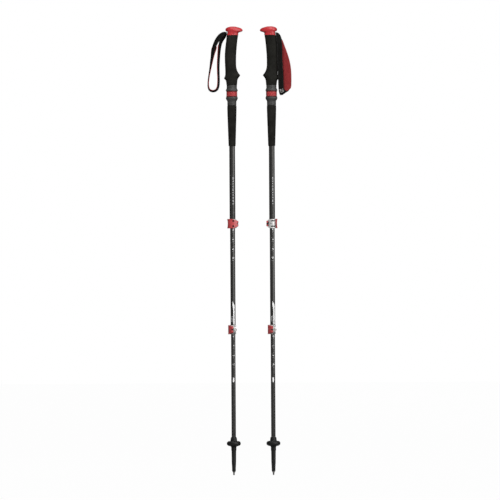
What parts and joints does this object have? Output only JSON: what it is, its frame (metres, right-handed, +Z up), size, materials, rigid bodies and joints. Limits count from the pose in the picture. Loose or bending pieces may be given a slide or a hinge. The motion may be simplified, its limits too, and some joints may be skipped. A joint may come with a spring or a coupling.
{
  "type": "telescopic trekking pole pair",
  "caption": "Pair of three-section telescopic trekking poles with foam grips, sprung grip collars, wrist straps, red lever locks, baskets and carbide tips.",
  "frame": {"origin": "centre of the flat end of the left pole's carbide point", "axes": "+Z up along both poles from point to grip, +X across from the left pole to the right pole, +Y away from the viewer who sees the left pole on the left"},
  "size_m": [0.2248, 0.0376, 1.2],
  "materials": {
    "red_plastic": "semi-gloss moulded",
    "red_lever": "satin painted",
    "red_elastomer": "matt moulded elastomer",
    "grip_foam": "matt closed-cell foam",
    "black_plastic": "moulded",
    "grey_collar": "fine moulded grain",
    "strap_webbing": "woven webbing with a red lining",
    "shaft_anodised": "dark grey anodised",
    "silver_alloy": "bright pressed alloy",
    "steel": "bright",
    "spring_steel": "drawn wire",
    "basket_plastic": "fine moulded grain",
    "carbide": "ground"
  },
  "bodies": {
    "left_grip": {"left_top_cap": "red_plastic", "left_strap_anchor_pin": "steel", "left_grip_foam": "grip_foam", "left_grip_core": "black_plastic", "left_upper_collar": "grey_collar", "left_damper_ring": "red_elastomer", "left_shock_spring": "spring_steel"},
    "left_strap_wedge": {"left_strap_lock_wedge": "black_plastic"},
    "left_strap": {"left_wrist_strap": "strap_webbing"},
    "left_upper_section": {"left_upper_shaft": "shaft_anodised", "left_grip_extension_foam": "grip_foam", "left_lower_collar": "grey_collar", "left_spring_seat": "black_plastic", "left_upper_lock_band": "silver_alloy", "left_upper_lock_barrel": "steel"},
    "left_upper_lever": {"left_upper_lock_lever": "red_lever"},
    "left_upper_screw": {"left_upper_lock_screw": "steel"},
    "left_mid_guide": {"left_mid_guide_bush": "black_plastic"},
    "left_mid_section": {"left_mid_shaft": "shaft_anodised", "left_lower_lock_band": "silver_alloy", "left_lower_lock_barrel": "steel"},
    "left_lower_lever": {"left_lower_lock_lever": "red_lever"},
    "left_lower_screw": {"left_lower_lock_screw": "steel"},
    "left_lower_guide": {"left_lower_guide_bush": "black_plastic"},
    "left_lower_section": {"left_lower_shaft": "shaft_anodised", "left_flex_tip": "basket_plastic", "left_tip_ferrule": "steel", "left_carbide_point": "carbide"},
    "left_basket_ring": {"left_basket": "basket_plastic"},
    "right_grip": {"right_top_cap": "red_plastic", "right_strap_anchor_pin": "steel", "right_grip_foam": "grip_foam", "right_grip_core": "black_plastic", "right_upper_collar": "grey_collar", "right_damper_ring": "red_elastomer", "right_shock_spring": "spring_steel"},
    "right_strap_wedge": {"right_strap_lock_wedge": "black_plastic"},
    "right_strap": {"right_wrist_strap": "strap_webbing"},
    "right_upper_section": {"right_upper_shaft": "shaft_anodised", "right_grip_extension_foam": "grip_foam", "right_lower_collar": "grey_collar", "right_spring_seat": "black_plastic", "right_upper_lock_band": "silver_alloy", "right_upper_lock_barrel": "steel"},
    "right_upper_lever": {"right_upper_lock_lever": "red_lever"},
    "right_upper_screw": {"right_upper_lock_screw": "steel"},
    "right_mid_guide": {"right_mid_guide_bush": "black_plastic"},
    "right_mid_section": {"right_mid_shaft": "shaft_anodised", "right_lower_lock_band": "silver_alloy", "right_lower_lock_barrel": "steel"},
    "right_lower_lever": {"right_lower_lock_lever": "red_lever"},
    "right_lower_screw": {"right_lower_lock_screw": "steel"},
    "right_lower_guide": {"right_lower_guide_bush": "black_plastic"},
    "right_lower_section": {"right_lower_shaft": "shaft_anodised", "right_flex_tip": "basket_plastic", "right_tip_ferrule": "steel", "right_carbide_point": "carbide"},
    "right_basket_ring": {"right_basket": "basket_plastic"}
  },
  "joints": [
    {"name": "left_shock_slide", "type": "slide", "parent": "left_grip", "child": "left_upper_section", "axis": [0, 0, 1], "range_m": [0, 0.008], "stiffness_N_per_m": 9000, "deforming": ["left_damper_ring", "left_shock_spring"]},
    {"name": "left_strap_swing", "type": "hinge", "parent": "left_grip", "child": "left_strap", "pos_m": [-0.0134, 0, 1.183], "axis": [0, 1, 0], "range_deg": [0, 60]},
    {"name": "left_strap_wedge_slide", "type": "slide", "parent": "left_grip", "child": "left_strap_wedge", "axis": [-1, 0, 0], "range_m": [0, 0.0025]},
    {"name": "left_upper_lever_hinge", "type": "hinge", "parent": "left_upper_section", "child": "left_upper_lever", "pos_m": [0.0124, -0.0066, 0.673], "axis": [0, 0, 1], "range_deg": [0, 140]},
    {"name": "left_upper_screw_turn", "type": "hinge", "parent": "left_upper_section", "child": "left_upper_screw", "pos_m": [0.0124, 0, 0.673], "axis": [0, 1, 0], "continuous": true},
    {"name": "left_lower_lever_hinge", "type": "hinge", "parent": "left_mid_section", "child": "left_lower_lever", "pos_m": [-0.00245, -0.01383, 0.3895], "axis": [0, 0, 1], "range_deg": [0, 140]},
    {"name": "left_lower_screw_turn", "type": "hinge", "parent": "left_mid_section", "child": "left_lower_screw", "pos_m": [0.00383, -0.01179, 0.3895], "axis": [0.9511, 0.309, 0], "continuous": true},
    {"name": "left_mid_slide", "type": "slide", "parent": "left_upper_section", "child": "left_mid_guide", "axis": [0, 0, -1], "range_m": [-0.256, 0.1]},
    {"name": "left_mid_twist", "type": "hinge", "parent": "left_mid_guide", "child": "left_mid_section", "pos_m": [0, 0, 0.8], "axis": [0, 0, 1], "continuous": true},
    {"name": "left_lower_slide", "type": "slide", "parent": "left_mid_section", "child": "left_lower_guide", "axis": [0, 0, -1], "range_m": [-0.272, 0.1]},
    {"name": "left_lower_twist", "type": "hinge", "parent": "left_lower_guide", "child": "left_lower_section", "pos_m": [0, 0, 0.55], "axis": [0, 0, 1], "continuous": true},
    {"name": "left_basket_turn", "type": "hinge", "parent": "left_lower_section", "child": "left_basket_ring", "pos_m": [0, 0, 0.084], "axis": [0, 0, 1], "continuous": true},
    {"name": "right_shock_slide", "type": "slide", "parent": "right_grip", "child": "right_upper_section", "axis": [0, 0, 1], "range_m": [0, 0.008], "stiffness_N_per_m": 9000, "deforming": ["right_damper_ring", "right_shock_spring"]},
    {"name": "right_strap_swing", "type": "hinge", "parent": "right_grip", "child": "right_strap", "pos_m": [0.1194, 0, 1.183], "axis": [0, -1, 0], "range_deg": [0, 60]},
    {"name": "right_strap_wedge_slide", "type": "slide", "parent": "right_grip", "child": "right_strap_wedge", "axis": [1, 0, 0], "range_m": [0, 0.0025]},
    {"name": "right_upper_lever_hinge", "type": "hinge", "parent": "right_upper_section", "child": "right_upper_lever", "pos_m": [0.0936, 0.0066, 0.673], "axis": [0, 0, 1], "range_deg": [0, 140]},
    {"name": "right_upper_screw_turn", "type": "hinge", "parent": "right_upper_section", "child": "right_upper_screw", "pos_m": [0.0936, 0, 0.673], "axis": [0, -1, 0], "continuous": true},
    {"name": "right_lower_lever_hinge", "type": "hinge", "parent": "right_mid_section", "child": "right_lower_lever", "pos_m": [0.10355, -0.01383, 0.3895], "axis": [0, 0, 1], "range_deg": [0, 140]},
    {"name": "right_lower_screw_turn", "type": "hinge", "parent": "right_mid_section", "child": "right_lower_screw", "pos_m": [0.10983, -0.01179, 0.3895], "axis": [0.9511, 0.309, 0], "continuous": true},
    {"name": "right_mid_slide", "type": "slide", "parent": "right_upper_section", "child": "right_mid_guide", "axis": [0, 0, -1], "range_m": [-0.256, 0.1]},
    {"name": "right_mid_twist", "type": "hinge", "parent": "right_mid_guide", "child": "right_mid_section", "pos_m": [0.106, 0, 0.8], "axis": [0, 0, 1], "continuous": true},
    {"name": "right_lower_slide", "type": "slide", "parent": "right_mid_section", "child": "right_lower_guide", "axis": [0, 0, -1], "range_m": [-0.272, 0.1]},
    {"name": "right_lower_twist", "type": "hinge", "parent": "right_lower_guide", "child": "right_lower_section", "pos_m": [0.106, 0, 0.55], "axis": [0, 0, 1], "continuous": true},
    {"name": "right_basket_turn", "type": "hinge", "parent": "right_lower_section", "child": "right_basket_ring", "pos_m": [0.106, 0, 0.084], "axis": [0, 0, 1], "continuous": true},
    {"name": "pair_spacing", "type": "slide", "parent": "left_grip", "child": "right_grip", "axis": [1, 0, 0], "range_m": [0, 0.1]}
  ]
}
